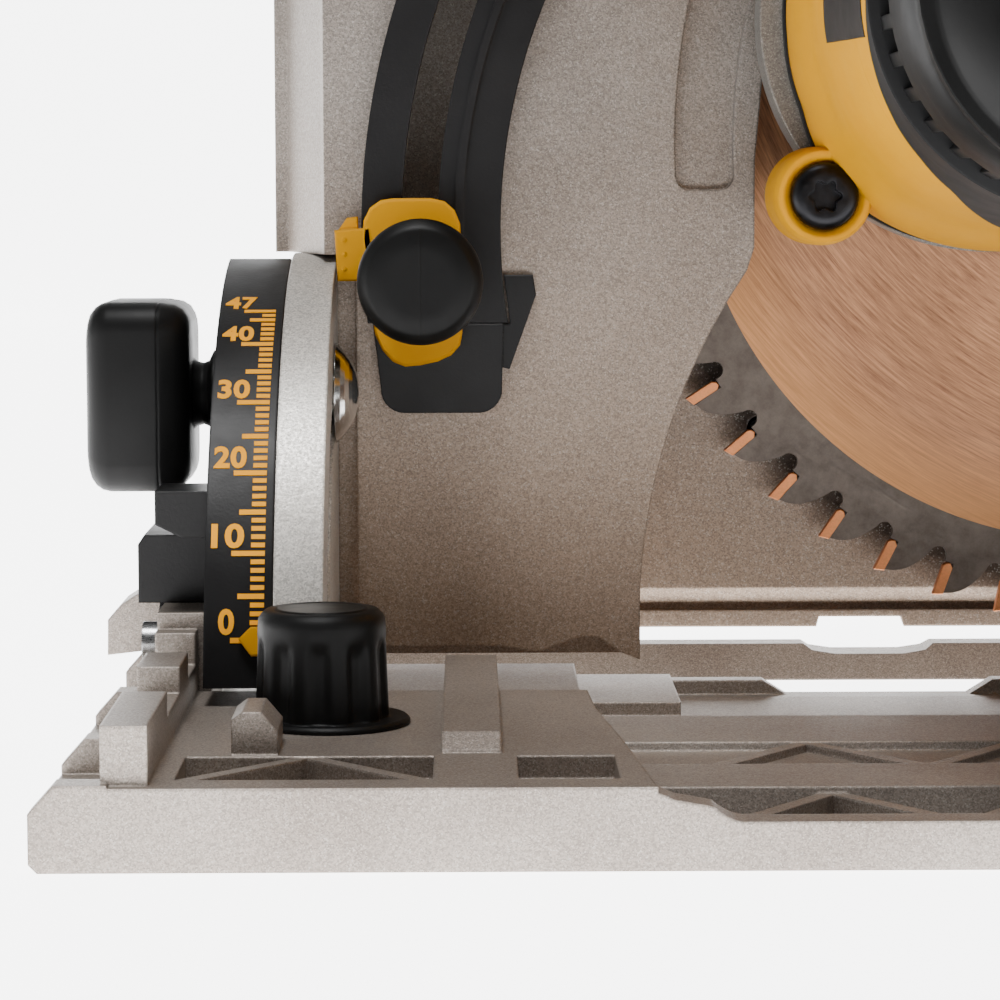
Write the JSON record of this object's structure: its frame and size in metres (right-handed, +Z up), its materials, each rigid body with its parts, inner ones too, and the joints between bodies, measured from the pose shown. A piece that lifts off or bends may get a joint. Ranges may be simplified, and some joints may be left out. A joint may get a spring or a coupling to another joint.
{
  "type": "plunge-cut circular saw",
  "caption": "Plunge-cut circular saw: blade guard that bevels on a flat shoe, motor and handles that plunge on two parallel links, blade, depth stop, clamp knobs and dust outlet.",
  "frame": {"origin": "on the sole, half way along the shoe, 56 mm to the near side of the blade's plane", "axes": "+Z up from the sole, +X to the rear of the saw, +Y from the motor side to the blade side"},
  "size_m": [0.3583, 0.176, 0.2216],
  "materials": {
    "shoe_coat": "fine textured silver-grey powder coat",
    "guard_coat": "hammered silver-grey coat",
    "bracket_metal": "satin cast aluminium",
    "black_coat": "satin black coat",
    "black_plastic": "fine matt grain",
    "dark_plastic": "smooth satin",
    "yellow_plastic": "satin yellow-orange",
    "spindle_lock_red": "smooth satin",
    "rubber": "matt",
    "steel": "bright, lightly brushed",
    "blade_steel": "ground steel with a coppery sheen",
    "carbide": "brazed tips",
    "core_steel": "laminated",
    "copper": "turned"
  },
  "bodies": {
    "shoe": {"shoe": "shoe_coat", "front_quadrant": "black_coat", "rear_quadrant": "black_coat", "quadrant_screws": "steel", "clamp_bolts": "steel", "bevel_stop_block": "black_coat"},
    "front_bevel_knob": {"front_bevel_knob": "black_plastic"},
    "rear_bevel_knob": {"rear_bevel_knob": "black_plastic"},
    "front_rail_knob": {"front_rail_knob": "black_plastic"},
    "rear_rail_knob": {"rear_rail_knob": "black_plastic"},
    "guard": {"guard_shell": "guard_coat", "guard_cover": "guard_coat", "front_bevel_bracket": "bracket_metal", "rear_bevel_bracket": "bracket_metal", "bevel_pointer": "yellow_plastic", "depth_track": "black_coat", "depth_pad": "black_coat", "guard_link_pins": "steel", "guard_screws": "steel", "return_spring": "steel", "dust_collar": "black_plastic"},
    "depth_stop": {"depth_slider": "yellow_plastic"},
    "depth_knob": {"depth_knob": "black_plastic"},
    "dust_port": {"dust_port": "black_plastic"},
    "upper_link": {"upper_link": "steel"},
    "lower_link": {"lower_link": "steel"},
    "carriage": {"gearcase": "bracket_metal", "bearing_plate": "bracket_metal", "gasket": "rubber", "motor_housing": "yellow_plastic", "motor_cap": "black_plastic", "housing_screws": "steel", "stator": "core_steel", "brush_holders": "dark_plastic", "armature_bearings": "steel", "spindle_bearings": "steel", "carriage_link_pins": "steel", "handle_left": "black_plastic", "handle_right": "black_plastic", "front_handle": "black_plastic", "switch_body": "dark_plastic", "cord_gland": "rubber", "knife_arm": "steel"},
    "spindle": {"spindle_shaft": "steel", "blade": "blade_steel", "carbide_tips": "carbide", "inner_flange": "steel", "outer_flange": "steel", "blade_screw": "steel", "spindle_gear": "steel"},
    "armature": {"armature_shaft": "steel", "rotor_core": "core_steel", "commutator": "copper", "fan": "dark_plastic"},
    "trigger": {"trigger": "dark_plastic"},
    "lock_off_button": {"lock_off_button": "dark_plastic"},
    "spindle_lock": {"spindle_lock": "spindle_lock_red"},
    "speed_dial": {"speed_dial": "black_plastic"},
    "riving_knife": {"riving_knife": "steel"}
  },
  "joints": [
    {"name": "bevel", "type": "hinge", "parent": "shoe", "child": "guard", "pos_m": [0, 0.056, 0], "axis": [-1, 0, 0], "range_deg": [0, 47]},
    {"name": "plunge", "type": "hinge", "parent": "guard", "child": "upper_link", "pos_m": [0.12737, 0, 0.09347], "axis": [0, -1, 0], "range_deg": [0, 38.6], "stiffness_Nm_per_rad": 5, "springref_deg": -80.21},
    {"name": "lower_link_turn", "type": "hinge", "parent": "guard", "child": "lower_link", "pos_m": [0.12737, 0, 0.04847], "axis": [0, -1, 0], "range_deg": [0, 38.6]},
    {"name": "carriage_level", "type": "hinge", "parent": "upper_link", "child": "carriage", "pos_m": [0.0245, 0, 0.1295], "axis": [0, -1, 0], "range_deg": [-38.6, 0]},
    {"name": "spindle_spin", "type": "hinge", "parent": "carriage", "child": "spindle", "pos_m": [-0.0037, 0, 0.0953], "axis": [0, 1, 0], "continuous": true},
    {"name": "armature_spin", "type": "hinge", "parent": "carriage", "child": "armature", "pos_m": [-0.02715, 0, 0.11202], "axis": [0, 1, 0], "continuous": true},
    {"name": "depth_stop_swing", "type": "hinge", "parent": "guard", "child": "depth_stop", "pos_m": [-0.008, 0, 0.079], "axis": [0, 1, 0], "range_deg": [0, 28]},
    {"name": "depth_knob_turn", "type": "hinge", "parent": "depth_stop", "child": "depth_knob", "pos_m": [-0.11672, 0, 0.07121], "axis": [0, 1, 0], "range_deg": [0, 180]},
    {"name": "dust_port_swivel", "type": "hinge", "parent": "guard", "child": "dust_port", "pos_m": [0.14, 0.056, 0.098], "axis": [1, 0, 0], "range_deg": [-90, 90]},
    {"name": "front_bevel_knob_turn", "type": "hinge", "parent": "shoe", "child": "front_bevel_knob", "pos_m": [-0.15, 0.03287, 0.05319], "axis": [1, 0, 0], "range_deg": [0, 90]},
    {"name": "rear_bevel_knob_turn", "type": "hinge", "parent": "shoe", "child": "rear_bevel_knob", "pos_m": [0.155, 0.03287, 0.05319], "axis": [1, 0, 0], "range_deg": [0, 90]},
    {"name": "front_rail_knob_turn", "type": "hinge", "parent": "shoe", "child": "front_rail_knob", "pos_m": [-0.13, -0.032, 0.011], "axis": [0, 0, 1], "range_deg": [0, 180]},
    {"name": "rear_rail_knob_turn", "type": "hinge", "parent": "shoe", "child": "rear_rail_knob", "pos_m": [0.13, -0.032, 0.011], "axis": [0, 0, 1], "range_deg": [0, 180]},
    {"name": "trigger_squeeze", "type": "hinge", "parent": "carriage", "child": "trigger", "pos_m": [0.0175, 0, 0.189], "axis": [0, -1, 0], "range_deg": [0, 8], "stiffness_Nm_per_rad": 0.6, "springref_deg": -14.32},
    {"name": "lock_off_slide", "type": "slide", "parent": "carriage", "child": "lock_off_button", "axis": [-1, 0, 0], "range_m": [0, 0.005], "stiffness_N_per_m": 600, "springref_m": -0.003},
    {"name": "spindle_lock_press", "type": "slide", "parent": "carriage", "child": "spindle_lock", "axis": [0, 0, -1], "range_m": [0, 0.003], "stiffness_N_per_m": 900, "springref_m": -0.003},
    {"name": "speed_dial_turn", "type": "hinge", "parent": "carriage", "child": "speed_dial", "pos_m": [-0.007, 0, 0.178], "axis": [0, 1, 0], "range_deg": [0, 270]},
    {"name": "riving_knife_slide", "type": "slide", "parent": "carriage", "child": "riving_knife", "axis": [0.9397, 0, 0.342], "range_m": [0, 0.008], "stiffness_N_per_m": 400, "springref_m": -0.008}
  ],
  "couplings": [
    {"joint": "carriage_level", "follows": "plunge", "ratio": -1},
    {"joint": "lower_link_turn", "follows": "plunge", "ratio": 1},
    {"joint": "armature_spin", "follows": "spindle_spin", "ratio": -1.4}
  ]
}
